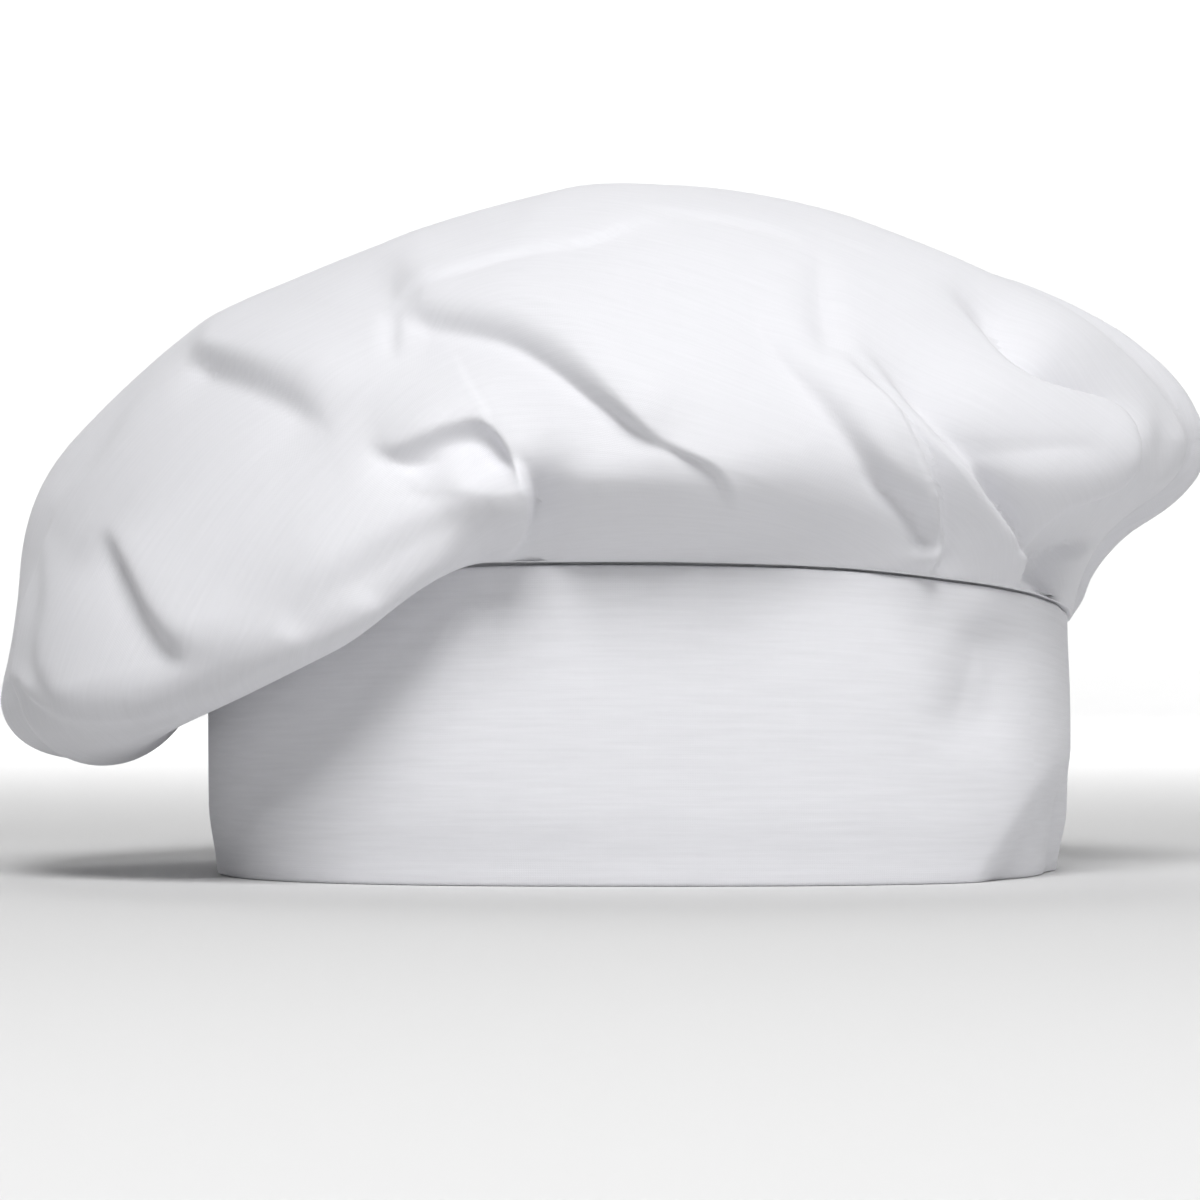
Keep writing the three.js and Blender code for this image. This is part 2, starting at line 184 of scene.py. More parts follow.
@dataclass(frozen=True)
class Crease:
    """A fold drawn on the front of the hat, as the photograph shows it.

    The cloth stands high to the left of the line, walking along it, and lies low to its right.

    Attributes:
        name: what the fold is.
        step: how the cloth climbs from the low side to the high one.
        line: points along it, across and up as seen from the front.
        over: how far the high side stands out, and how far out that fades.
        under: how far the low side stands out, less than nothing where it lies low, and how far out that fades.
        widths: the step's width at the line's start, middle and end.
        lean: how far the high edge hangs over the low side.
        fade: the shares of the line over which the fold grows at its start and dies at its end.
        sharpness: 1 for sides that fall away at once, 2 for rounded ones.
    """

    name: str
    step: Step
    line: tuple[tuple[float, float], ...]
    over: tuple[float, float]
    under: tuple[float, float]
    widths: tuple[float, float, float] = (2.0, 2.0, 2.0)
    lean: float = 0.0
    fade: tuple[float, float] = (0.15, 0.3)
    sharpness: float = 1.5

    def track(self) -> Array:
        """Joins the fold's points by a smooth curve.

        Returns:
            The ends of its short straight steps.
        """
        corners = np.array(self.line, float)
        ends = np.vstack([2 * corners[0] - corners[1], corners, 2 * corners[-1] - corners[-2]])
        share = np.linspace(0.0, 1.0, TRACK_STEPS + 1)[:-1, None]
        runs = []
        for before, start, end, after in zip(ends, ends[1:], ends[2:], ends[3:]):
            bend = 2 * before - 5 * start + 4 * end - after
            twist = 3 * start - before - 3 * end + after
            runs.append(start + 0.5 * share * ((end - before) + share * (bend + share * twist)))
        return np.vstack([*runs, corners[-1:]])

    def beside(self, seen: Array) -> tuple[Array, Array, Array]:
        """Finds where points lie beside the fold.

        Args:
            seen: points as seen from the front, across and up.

        Returns:
            How far off the line each lies, left positive; the share of the line before the places near it; and the
            unit direction from the line to its left there.
        """
        track = self.track()
        starts, runs = track[:-1], np.diff(track, axis=0)
        lengths = np.hypot(runs[:, 0], runs[:, 1])
        before = np.concatenate([[0.0], np.cumsum(lengths)])
        best = np.full(seen.shape[:-1], np.inf)
        along, weight = np.zeros_like(best), np.zeros_like(best)
        left = np.zeros_like(seen)
        # The nearest step gives the distance. All steps give the place along the line and its left side, the near
        # ones most, so that both change smoothly across the fold.
        for k, (start, run) in enumerate(zip(starts, runs)):
            apart = seen - start
            share = np.clip((apart @ run) / lengths[k] ** 2, 0.0, 1.0)
            off = apart - share[..., None] * run
            far = np.hypot(off[..., 0], off[..., 1])
            turn = np.sign(run[0] * off[..., 1] - run[1] * off[..., 0])
            nearer = far < np.abs(best)
            best = np.where(nearer, far * np.where(turn == 0.0, 1.0, turn), best)
            near = lengths[k] / (far**2 + 1.0) ** 3
            weight += near
            along += near * (before[k] + share * lengths[k]) / before[-1]
            left += near[..., None] * np.array([-run[1], run[0]]) / lengths[k]
        length = np.maximum(np.linalg.norm(left, axis=-1, keepdims=True), 1e-12)
        return best, along / weight, left / length

    def strength(self, along: Array) -> Array:
        """How much of the fold there is at shares of its line."""
        start, end = self.fade
        return smooth(along / max(start, 1e-6)) * smooth((1.0 - along) / max(end, 1e-6))

    def climb(self, off: Array, along: Array) -> tuple[Array, Array, Array]:
        """How far up its step points are.

        Args:
            off: how far left of the line each is.
            along: the share of the line before it.

        Returns:
            The share of the climb, and how far out beyond the step's top and foot each point is.
        """
        width = np.interp(along, (0.0, 0.5, 1.0), self.widths)
        foot = off + width * self.step.value
        return self.step.ease(np.clip(foot / width, 0.0, 1.0)), np.maximum(foot - width, 0.0), np.maximum(-foot, 0.0)

    def lift(self, off: Array, along: Array) -> Array:
        """Says how far the cloth stands out beside the line.

        Args:
            off: how far left of the line each point is.
            along: the share of the line before it.

        Returns:
            How far out of the plain cloth each point moves.
        """
        climbed, beyond, short = self.climb(off, along)
        high, high_spread = self.over
        low, low_spread = self.under
        over = high * np.exp(-((beyond / high_spread) ** self.sharpness))
        under = low * np.exp(-((short / low_spread) ** self.sharpness))
        return self.strength(along) * (climbed * over + (1.0 - climbed) * under)

    def hang(self, off: Array, along: Array) -> Array:
        """Says how far the cloth is drawn over the low side.

        Args:
            off: how far left of the line each point is.
            along: the share of the line before it.

        Returns:
            How far to the right each point moves.
        """
        climbed, beyond, _ = self.climb(off, along)
        reach = HANG_REACH * max(self.lean, 1e-6)
        return self.strength(along) * self.lean * climbed * np.exp(-((beyond / reach) ** 2))


# Front view: lobe at the left, middle, two pleats at the lower right, belly and rim at the right, lobe's hem, panel.
CREASES = (
    Crease("lobe_end", Step.RIDGE,
           ((-34.4, 74.4), (-29.5, 77.4), (-26.5, 83), (-26, 89.5), (-27.3, 96), (-30, 101)),
           (6, 16), (-5.5, 8), (1.5, 1.5, 2), 1.3, (0.55, 0.35), 2.2),
    Crease("arch", Step.RIDGE,
           ((-62, 99.5), (-54, 103), (-47.4, 105.8), (-40, 108.2), (-35.6, 108), (-32, 105.4), (-29.5, 101.2),
            (-27.4, 96), (-26.2, 90)),
           (1.6, 7), (-3.6, 8), (4, 5, 2), 0.6, (0.3, 0.3), 1.6),
    Crease("knuckle", Step.VALLEY,
           ((-64.5, 102.2), (-55.7, 99.2), (-50.2, 98.2), (-44.6, 99.2), (-38, 101.5)),
           (0.8, 7), (-2.2, 8), (3, 6, 6), 0.4, (0.25, 0.5), 1.6),
    Crease("roll_brow", Step.ROUND,
           ((-88, 60), (-72.6, 70.3), (-59.9, 78.4), (-48.3, 85), (-38, 89.5), (-29.5, 93.5)),
           (2.2, 12), (0.2, 12), (9, 9, 6), 0, (0.35, 0.2), 2),
    Crease("left_crease", Step.VALLEY,
           ((-105.5, 123.3), (-101.6, 121.9), (-94.2, 118.9), (-83.1, 113.6), (-68, 103.6)),
           (3.4, 13), (-2.4, 10), (0.8, 6, 15), 0, (0.15, 0.35), 1.5),
    Crease("middle_crease", Step.VALLEY,
           ((-57.5, 132.4), (-45, 130.6), (-31.5, 127.4), (-21.2, 121.6), (-8.5, 111.8), (2, 103.8), (10.5, 100.2)),
           (3.5, 13), (-2.4, 12), (4, 7.5, 1.4), 0.6, (0.12, 0.22), 1.5),
    Crease("middle_tail", Step.RIDGE,
           ((4, 103.6), (10.5, 101), (15.6, 98.6), (19, 95.4), (21.2, 91.4), (22.6, 86)),
           (1.5, 7), (-1, 6), (0.8, 0.8, 0.8), 0.5, (0.3, 0.25), 1.3),
    Crease("middle_stub", Step.ROUND, ((-57.6, 120.7), (-57.4, 134.2)),
           (-1.2, 1.6), (-1.2, 1.6), (1, 1, 1), 0, (0.5, 0.2), 1.5),
    Crease("upper_layer", Step.RIDGE,
           ((-57.6, 135.6), (-43.7, 140.6), (-27.5, 147), (-11.2, 149.9), (0.3, 154.1), (12, 156.5)),
           (1.3, 12), (-0.9, 9), (0.9, 0.9, 0.9), 0.6, (0.1, 0.3), 1.1),
    Crease("crest_layer", Step.RIDGE,
           ((-4, 158.4), (6, 157), (14.2, 155.8), (24.7, 154), (37.4, 150.6), (43.4, 147.6)),
           (0.5, 8), (-0.6, 7), (1, 1.2, 1.4), 0, (0.35, 0.25), 1.2),
    Crease("inner_pleat", Step.RIDGE,
           ((66.6, 72.5), (68.7, 79.5), (68, 86.7), (65.7, 95.9), (62.4, 103.6), (57.8, 111.2), (51.3, 117.9),
            (43.4, 126.7)),
           (3.6, 7), (-3.2, 8), (1.8, 2, 2.5), 0.6, (0.05, 0.45), 1.2),
    Crease("inner_valley", Step.VALLEY,
           ((23.1, 141.1), (30.7, 126.3), (42.3, 113.5), (50.4, 102.9), (57.6, 93.6), (65.2, 85.5), (67.5, 76.5)),
           (1.4, 6), (-2.2, 9), (9, 5, 1.2), 0.3, (0.3, 0.05), 1.3),
    Crease("outer_pleat", Step.RIDGE,
           ((88.9, 69.5), (88.2, 76.7), (85.1, 82.7), (80.3, 90.1), (75.7, 97.1), (69.9, 103.6), (64.8, 110.1),
            (55, 121.5), (47.8, 127.9)),
           (2.4, 6), (-3.6, 9), (2.6, 3, 2.6), 0, (0.05, 0.35), 1.3),
    Crease("inner_hook", Step.ROUND, ((52, 98.4), (57, 93.9), (61.8, 88.8), (65.4, 83.6), (66.8, 77.5)),
           (-2.6, 2.3), (-2.6, 2.3), (1, 1, 1), 0, (0.4, 0.12), 1.6),
    Crease("outer_hook", Step.ROUND, ((77.5, 99), (82, 93.1), (84.9, 86.8), (87.5, 80.4), (89, 76.3)),
           (-3.4, 2.6), (-3.4, 2.6), (1, 1, 1), 0, (0.45, 0.12), 1.6),
    Crease("outer_tuck", Step.ROUND, ((43.4, 151), (43.7, 140), (44.8, 128), (48, 121)),
           (-1.4, 1.8), (-2, 5), (1, 1, 1), 0, (0.35, 0.25), 1.5),
    Crease("belly_edge", Step.RIDGE,
           ((89.6, 72.3), (91.2, 78.1), (93.7, 83.6), (98.1, 87.6), (104.6, 89.9), (109.7, 92.7), (113.2, 97.3),
            (114.1, 103.6), (112, 109.4), (107.6, 112.8), (101.1, 114.9), (94.2, 117), (88.4, 120.3), (83.8, 125.6),
            (80.3, 131.4), (74.5, 136), (67.5, 138.8)),
           (5, 15), (-5.5, 9), (2.5, 4.5, 4), 0, (0.08, 0.3), 1.5),
    Crease("outer_slope", Step.VALLEY,
           ((69, 141.5), (76.5, 138.5), (83, 133.5), (86.5, 127.5), (90.5, 122.8), (95.5, 120), (102.3, 117.8),
            (109.5, 115.3), (114.6, 111.2), (117, 104), (116, 96.5)),
           (2.5, 12), (-4, 12), (13, 12, 9), 0, (0.25, 0.45), 1.6),
    Crease("rim_edge", Step.RIDGE,
           ((98.6, 64.6), (99.3, 71.1), (101.8, 76.2), (106.9, 80.4), (112.7, 84.3), (118.5, 87.6), (122.9, 91.3),
            (125.2, 96.6), (125.7, 102.4), (124.5, 109.4), (121.3, 115.2), (116.4, 120)),
           (-2.8, 2), (-2.8, 2), (0.8, 0.8, 0.8), 0, (0.15, 0.3), 1.6),
    Crease("small_fold", Step.ROUND, ((107.4, 82.6), (110.2, 87.8), (112.8, 92)),
           (1.4, 3), (-0.6, 2), (1.5, 1.5, 1.5), 0, (0.2, 0.3), 1.6),
    Crease("rim_slot", Step.VALLEY,
           ((118.3, 98), (118.5, 91.1), (116.2, 87.1), (111.6, 83.6), (106.5, 80.4), (101.8, 77.4), (99.1, 73.9),
            (97.9, 70), (97.9, 64)),
           (4.5, 6), (-4.5, 6), (3.5, 2.6, 2.2), 0, (0.35, 0.14), 1.5),
    Crease("lobe_valley", Step.VALLEY,
           ((-125.5, 84), (-121.3, 76.9), (-118.5, 70), (-115.5, 62.6), (-110.9, 55.6), (-103.5, 48.5)),
           (2.2, 12), (-3.2, 11), (1, 4.5, 9), 0, (0.25, 0.25), 1.5),
    Crease("lobe_shoulder", Step.ROUND,
           ((-139, 84), (-137.3, 88), (-126.6, 98.2), (-116, 114.2), (-106.5, 124.2)),
           (-1.4, 10), (0.8, 14), (4, 4, 4), 0, (0.15, 0.2), 1.5),
    Crease("lobe_side", Step.ROUND,
           ((-132, 39.2), (-136.1, 45.9), (-139.1, 54.4), (-137.7, 65.1), (-138.7, 83.9)),
           (-1.0, 8), (0.7, 9), (4, 4, 4), 0, (0.15, 0.25), 1.5),
    Crease("lobe_hem", Step.ROUND,
           ((-144.7, 49.5), (-140.1, 43), (-132, 38), (-123.4, 36.6), (-112.7, 37.5), (-100.5, 43)),
           (1.4, 14), (-2.6, 10), (2.5, 2.5, 3), 0, (0.1, 0.25), 1.6),
    Crease("hem_wave_1", Step.ROUND, ((-84, 50), (-78, 62)),
           (1.6, 5), (1.6, 5), (1, 1, 1), 0, (0.1, 0.5), 2),
    Crease("hem_wave_2", Step.ROUND, ((-66, 58), (-61, 69)),
           (1.3, 5), (1.3, 5), (1, 1, 1), 0, (0.1, 0.5), 2),
    Crease("panel_brow", Step.ROUND,
           ((-30, 91.5), (-8.9, 91.4), (9.6, 90.1), (30, 87), (58, 84)),
           (0.6, 14), (-0.8, 12), (9, 9, 7), 0, (0.05, 0.3), 2),
)

BAND_CREASES = (
    Crease("corner_fold", Step.ROUND, ((79, -3), (85.5, 6), (91.5, 15.5), (97, 24), (101, 33)),
           (0.6, 12), (-4.4, 14), (9, 10, 9), 0, (0.02, 0.35), 2),
    Crease("corner_dent", Step.ROUND, ((84, 66), (83, 56), (81.5, 46), (78, 36), (74, 26)),
           (-3.6, 8), (-3.6, 8), (3, 3, 3), 0, (0.25, 0.4), 1.8),
)


@dataclass(frozen=True)
class Pleat:
    """A pleat that runs up from the band round the sides and back.

    Attributes:
        bearing: where it leaves the band, in degrees.
        swing: how many degrees it swings round on its way up.
        run: the share of the way to the peak that it runs.
        rise: how far its edge stands out.
        spread: how far out it fades.
        width: the width of its step.
        sink: how deep its low side lies, in times its rise.
        sink_spread: how far out that fades, in times its spread.
    """

    bearing: float
    swing: float
    run: float
    rise: float
    spread: float
    width: float = 4.0
    sink: float = 0.8
    sink_spread: float = 0.7

    def lift(self, off: Array) -> Array:
        """Says how far the cloth stands out beside the pleat.

        Args:
            off: how far past the pleat's edge each point is.

        Returns:
            How far out of the plain cloth it moves.
        """
        over = (self.rise, self.spread)
        under = (-self.sink * self.rise, self.sink_spread * self.spread)
        folded = Crease("pleat", Step.ROUND, (), over, under, (self.width,) * 3, fade=(0.0, 0.0))
        return folded.lift(off, np.full_like(off, 0.5))


PLEATS = (
    Pleat(6, -8, 0.6, 4, 14),
    Pleat(31, -12, 0.7, 5, 18),
    Pleat(57, -16, 0.55, 4, 18),
    Pleat(83, -14, 0.75, 5, 20),
    Pleat(109, -12, 0.6, 5, 20),
    Pleat(136, -8, 0.7, 4, 20),
    Pleat(164, -4, 0.6, 3, 18),
    Pleat(193, 4, 0.5, 3, 18),
)


@dataclass(frozen=True)
class Hollow:
    """A broad hollow where the cloth sags between its pleats.

    Attributes:
        at: its middle.
        depth: how deep it is.
        spread: how far it spreads.
    """

    at: tuple[float, float, float]
    depth: float
    spread: float


HOLLOWS = (
    Hollow((-64, 18, 138), 6.4, 34),
    Hollow((46, 52, 134), 6, 36),
    Hollow((-20, 84, 122), 5, 34),
    Hollow((-118, 40, 96), 6, 34),
    Hollow((98, 14, 128), 3, 30),
    Hollow((-44, 2, 151), 6.6, 31),
    Hollow((-136, -4, 92), -5.4, 24),
    Hollow((-100, -4, 122), -2.4, 28),
    Hollow((-140, -12, 36), -2.5, 12),
    Hollow((50, 2, 153), -0.8, 22),
    Hollow((74, -2, 145), 3, 26),
    Hollow((-147, -6, 52), 3, 16),
)


@dataclass(frozen=True)
class Ripple:
    """A small unevenness of hand-smoothed cotton: two crossed waves, each with its length for one radian.

    Attributes:
        rise: how far it stands out.
        level: the first wave's lengths to the right and to the back.
        sway: how far that wave sways, and the length of the swaying upwards.
        upright: the second wave's lengths to the back and upwards.
    """

    rise: float
    level: tuple[float, float]
    sway: tuple[float, float]
    upright: tuple[float, float]

    def lift(self, points: Array) -> Array:
        """Says how far the cloth stands out.

        Args:
            points: points of the plain cloth.

        Returns:
            How far out of it each point moves.
        """
        x, y, z = np.moveaxis(points, -1, 0)
        swayed = np.sin(x / self.level[0] + y / self.level[1] + self.sway[0] * np.sin(z / self.sway[1]))
        return self.rise * (swayed * np.sin(y / self.upright[0] + z / self.upright[1]))


RIPPLES = (
    Ripple(0.45, (17.0, math.inf), (1.3, 21.0), (19.0, 25.0)),
    Ripple(0.14, (7.3, 11.0), (0.8, 9.0), (-13.0, 8.1)),
)


@dataclass(frozen=True)
class Cotton:
    """White cotton in a plain weave, a little uneven in its threads.

    Attributes:
        name: the material's name.
        tint: its colour, linear.
        roughness: how matt it is.
        sheen: how much its fuzz shows, and how broadly.
        gloss: how strong its reflection is.
        thread: the weave's pitch in millimetres.
        wobble: how unevenly its threads run.
        relief: how deep the weave is, in millimetres.
        weave_shows: how strongly the weave shows in the shading.
        slub: how much the thicker threads show.
        streaks: how many streaks a metre holds, along and across the threads.
    """

    name: str
    tint: tuple[float, float, float] = (0.80, 0.80, 0.83)
    roughness: float = 0.88
    sheen: tuple[float, float] = (0.1, 0.4)
    gloss: float = 0.3
    thread: float = 0.5
    wobble: float = 1.5
    relief: float = 0.03
    weave_shows: float = 0.5
    slub: float = 0.05
    streaks: tuple[float, float] = (60.0, 900.0)

    def material(self) -> bpy.types.Material:
        """Makes the cloth's material.

        Returns:
            The material, which takes its weave from the cloth's own UV map.
        """
        made = bpy.data.materials.new(self.name)
        made.use_nodes = True
        tree = made.node_tree
        nodes, links = tree.nodes, tree.links
        shader = nodes["Principled BSDF"]
        shader.inputs["Roughness"].default_value = self.roughness
        shader.inputs["Sheen Weight"].default_value = self.sheen[0]
        shader.inputs["Sheen Roughness"].default_value = self.sheen[1]
        shader.inputs["Specular IOR Level"].default_value = self.gloss
        place = nodes.new("ShaderNodeTexCoord")
        weave = [self.threads(tree, place, direction) for direction in ("X", "Y")]
        crossed = nodes.new("ShaderNodeMath")
        crossed.operation = "MAXIMUM"
        links.new(weave[0], crossed.inputs[0])
        links.new(weave[1], crossed.inputs[1])
        relief = nodes.new("ShaderNodeBump")
        relief.inputs["Strength"].default_value = self.weave_shows
        relief.inputs["Distance"].default_value = self.relief * METRES
        links.new(crossed.outputs[0], relief.inputs["Height"])
        links.new(relief.outputs["Normal"], shader.inputs["Normal"])
        links.new(self.streaked(tree, place), shader.inputs["Base Color"])
        return made

    def threads(self, tree: bpy.types.NodeTree, place: bpy.types.Node, direction: str) -> bpy.types.NodeSocket:
        """Lays one set of threads.

        Args:
            tree: the material's nodes and links.
            place: the texture coordinates.
            direction: X or Y, the way across the threads.

        Returns:
            The socket that gives their height.
        """
        wave = tree.nodes.new("ShaderNodeTexWave")
        wave.bands_direction = direction
        wave.wave_profile = "SIN"
        wave.inputs["Scale"].default_value = math.pi / (10.0 * self.thread * METRES)
        wave.inputs["Distortion"].default_value = self.wobble
        wave.inputs["Detail"].default_value = 2.0
        wave.inputs["Detail Scale"].default_value = 0.4
        tree.links.new(place.outputs["UV"], wave.inputs["Vector"])
        return wave.outputs["Fac"]

    def streaked(self, tree: bpy.types.NodeTree, place: bpy.types.Node) -> bpy.types.NodeSocket:
        """Colours the cloth, with faint streaks where threads are thicker.

        Args:
            tree: the material's nodes and links.
            place: the texture coordinates.

        Returns:
            The socket that gives the colour.
        """
        nodes, links = tree.nodes, tree.links
        stretch = nodes.new("ShaderNodeMapping")
        stretch.inputs["Scale"].default_value = (*self.streaks, 1.0)
        noise = nodes.new("ShaderNodeTexNoise")
        noise.inputs["Scale"].default_value = 1.0
        noise.inputs["Detail"].default_value = 3.0
        ramp = nodes.new("ShaderNodeValToRGB")
        low = [c * (1.0 - self.slub) for c in self.tint]
        ramp.color_ramp.elements[0].position = 0.3
        ramp.color_ramp.elements[0].color = (*low, 1.0)
        ramp.color_ramp.elements[1].position = 0.7
        ramp.color_ramp.elements[1].color = (*self.tint, 1.0)
        links.new(place.outputs["UV"], stretch.inputs["Vector"])
        links.new(stretch.outputs["Vector"], noise.inputs["Vector"])
        links.new(noise.outputs["Fac"], ramp.inputs["Fac"])
        return ramp.outputs["Color"]


def put(name: str, data: bpy.types.ID, place: Vector | None = None, aim: Vector | None = None) -> bpy.types.Object:
    """Puts an object in the scene.

    Args:
        name: the object's name.
        data: its mesh, light or camera.
        place: where it stands, if not at the origin.
        aim: what it is turned to, if it stands somewhere else.

    Returns:
        The object.
    """
    made = bpy.data.objects.new(name, data)
    if place is not None and aim is not None:
        made.location = place
        made.rotation_euler = (aim - place).to_track_quat("-Z", "Y").to_euler()
    bpy.context.scene.collection.objects.link(made)
    return made


@dataclass
class MeshMaker:
    """Makes mesh objects in the frame of the part.

    Attributes:
        middle: the band's middle in that frame, in metres, on the floor.
    """

    middle: Vector

    def make(self, name: str, points: Array, faces: list[tuple[int, ...]], uvs: Array) -> bpy.types.Object:
        """Makes a smooth mesh object.

        Args:
            name: the object's name.
            points: its corners in millimetres in the band's frame.
            faces: the corners of each face.
            uvs: a place on the flat cloth for each corner of each face, in metres.

        Returns:
            The object, in the scene.
        """
        mesh = bpy.data.meshes.new(name)
        placed = points * METRES + np.array(self.middle)
        mesh.from_pydata(placed.tolist(), [], faces)
        layer = mesh.uv_layers.new(name="cloth")
        layer.data.foreach_set("uv", uvs.astype(np.float32).ravel())
        mesh.shade_smooth()
        return put(name, mesh)


def ring_faces(columns: int, rows: int, first: int, outward: bool) -> list[tuple[int, ...]]:
    """Faces of a grid that closes on itself round the hat, whose corners run up each column in turn.

    Args:
        columns: how many columns it has.
        rows: how many corners each column has.
        first: the number of its first corner.
        outward: whether it faces out.

    Returns:
        The corners of each face.
    """
    i, j = np.meshgrid(np.arange(columns), np.arange(rows - 1), indexing="ij")
    k = (i + 1) % columns
    corners = np.stack([i * rows + j, k * rows + j, k * rows + j + 1, i * rows + j + 1], -1).reshape(-1, 4) + first
    return [tuple(c) for c in (corners if outward else corners[:, ::-1]).tolist()]


def grid_normals(grid: Array, peak: Array) -> Array:
    """Normals of a grid that closes on itself round the hat and ends at its peak.

    Args:
        grid: points by column and row.
        peak: the point where all columns meet.

    Returns:
        A unit normal for each point.
    """
    around = np.roll(grid, -1, 0) - np.roll(grid, 1, 0)
    above = np.concatenate([grid[:, 1:], np.broadcast_to(peak, (len(grid), 1, 3))], 1)
    below = np.concatenate([grid[:, :1], grid[:, :-1]], 1)
    normal = np.cross(around, above - below)
    return normal / np.linalg.norm(normal, axis=-1, keepdims=True)


@dataclass
class Band:
    """The head band: a stiff ring of folded cotton, as tall as a palm is wide.

    Attributes:
        half_width: half its width.
        half_depth: half its depth from front to back.
        squareness: the power of its oval, 2 for an ellipse.
        height: its height in front.
        wall: its thickness.
        columns: how many strips it is meshed in.
        crowding: how much closer together the strips are in front.
        hem: the share of its height that each folded edge takes.
        hem_round: how round a folded edge is, 0 for a square one.
        outside_rows: rows of points up its outer face.
        inside_rows: rows of points down its inner face.
        bulge: how far its middle stands out.
        foot: how far its rim is drawn in, and the share of its height below which that shows.
        puckers: how far the puckers of its top edge stand out, the share of its height that they take, and how many
            there are.
        waves: for each wave round it how far it stands out, how often, where it starts and how it twists upwards.
        front: how far from its middle to the front its corner's creases are seen in full.
    """

    half_width: float = 98.5
    half_depth: float = 89.0
    squareness: float = 2.6
    height: float = 69.0
    wall: float = 2.0
    columns: int = 441
    crowding: float = 0.55
    hem: float = 0.012
    hem_round: float = 0.25
    outside_rows: int = 30
    inside_rows: int = 12
    bulge: float = 0.4
    foot: tuple[float, float] = (1.8, 0.25)
    puckers: tuple[float, float, float] = (0.18, 0.12, 41.0)
    waves: tuple[tuple[float, float, float, float], ...] = ((0.35, 3.0, 0.6, 0.0), (0.25, 7.0, 2.0, 2.2))
    front: float = 20.0
    finish: Cotton = field(default_factory=lambda: Cotton("band_cotton", slub=0.05))

    def bearings(self) -> Array:
        """The bearings of the strips in degrees, closer together in front."""
        even = 2.0 * np.pi * np.arange(self.columns) / self.columns
        return np.degrees(even - self.crowding * np.cos(even))

    def radius(self, bearing: Array, inset: Array | float = 0.0) -> Array:
        """Finds how far out the oval lies.

        Args:
            bearing: degrees round the hat.
            inset: how far inside itself the oval is moved.

        Returns:
            The distance from its middle at each bearing.
        """
        ray = np.stack([np.cos(np.radians(bearing)), np.sin(np.radians(bearing))], -1)
        half = np.array([self.half_width, self.half_depth])
        n = self.squareness
        plain = (np.abs(ray / half) ** n).sum(-1) ** (-1.0 / n)
        share = plain[..., None] * ray / half
        outward = np.sign(share) * np.abs(share) ** (n - 1.0) / half
        outward /= np.linalg.norm(outward, axis=-1, keepdims=True)
        return plain - inset / (outward * ray).sum(-1)

    def top(self, bearing: Array) -> Array:
        """How high its top edge is at a bearing."""
        return self.height - round_the_hat("seam_drop", bearing)

    def waver(self, bearing: Array, share: Array) -> Array:
        """Says how unevenly its wall stands.

        Args:
            bearing: degrees round the hat.
            share: shares of its height.

        Returns:
            How far it stands out from a plain wall there.
        """
        turn = np.radians(bearing)
        bulge = self.bulge * np.sin(np.pi * np.clip(share, 0.0, 1.0))
        drawn_in = self.foot[0] * (1.0 - smooth(share / self.foot[1]))
        wave = sum(rise * np.sin(often * turn + start + twist * share) for rise, often, start, twist in self.waves)
        # The waves fade in the lowest third and the highest quarter of the wall.
        wave *= smooth(share * 3.0) * smooth((1.0 - share) * 4.0)
        # The puckers crowd together in five places.
        rise, depth, count = self.puckers
        puckers = rise * np.sin(count * turn + 1.3 * np.sin(5.0 * turn)) * np.exp(-((1.0 - share) / depth) ** 2)
        return bulge - drawn_in + wave + puckers

    def dents(self, points: Array) -> Array:
        """Says how far the creases at its right corner stand out.

        Args:
            points: points of its wall.

        Returns:
            How far out each point moves.
        """
        seen = Eye().see(points, self.half_depth)
        total = np.zeros(points.shape[:-1])
        for crease in BAND_CREASES:
            off, along, _ = crease.beside(seen)
            total += crease.lift(off, along) * smooth(-points[..., 1] / self.front)
        return total

    def build(self, maker: MeshMaker) -> bpy.types.Object:
        """Builds the ring.

        Args:
            maker: makes the mesh.

        Returns:
            The band's object.
        """
        bearing = self.bearings()[:, None]
        profile = self.profile()
        share, depth = profile[None, :, 0], profile[None, :, 1]
        top = self.top(bearing)
        out = self.radius(bearing, depth) + self.waver(bearing, share)
        turn = np.radians(bearing)
        points = np.stack([out * np.cos(turn), out * np.sin(turn), share * top + 0.0 * turn], -1)
        dented = self.dents(points)
        points[..., 0] += dented * np.cos(turn)
        points[..., 1] += dented * np.sin(turn)
        points[..., 2] = np.maximum(points[..., 2], 0.0)
        rows = len(profile)
        i, j = np.meshgrid(np.arange(self.columns), np.arange(rows), indexing="ij")
        k, m = (i + 1) % self.columns, (j + 1) % rows
        corners = np.stack([i * rows + j, k * rows + j, k * rows + m, i * rows + m], -1).reshape(-1, 4)
        steps = np.linalg.norm(np.diff(points[:, 0, :2], axis=0, append=points[:1, 0, :2]), axis=-1)
        round_it = np.concatenate([[0.0], np.cumsum(steps)]) * METRES
        up_it = np.concatenate([[0.0], np.cumsum(np.abs(np.diff(profile[:, 0])) * self.height)]) * METRES
        up_it = np.append(up_it, up_it[-1])
        around = ((0, 0), (1, 0), (1, 1), (0, 1))
        flat = np.stack([np.stack([round_it[i + right], up_it[j + up]], -1) for right, up in around], -2)
        faces = [tuple(c) for c in corners.tolist()]
        return maker.make("head_band", points.reshape(-1, 3), faces, flat.reshape(-1, 2))

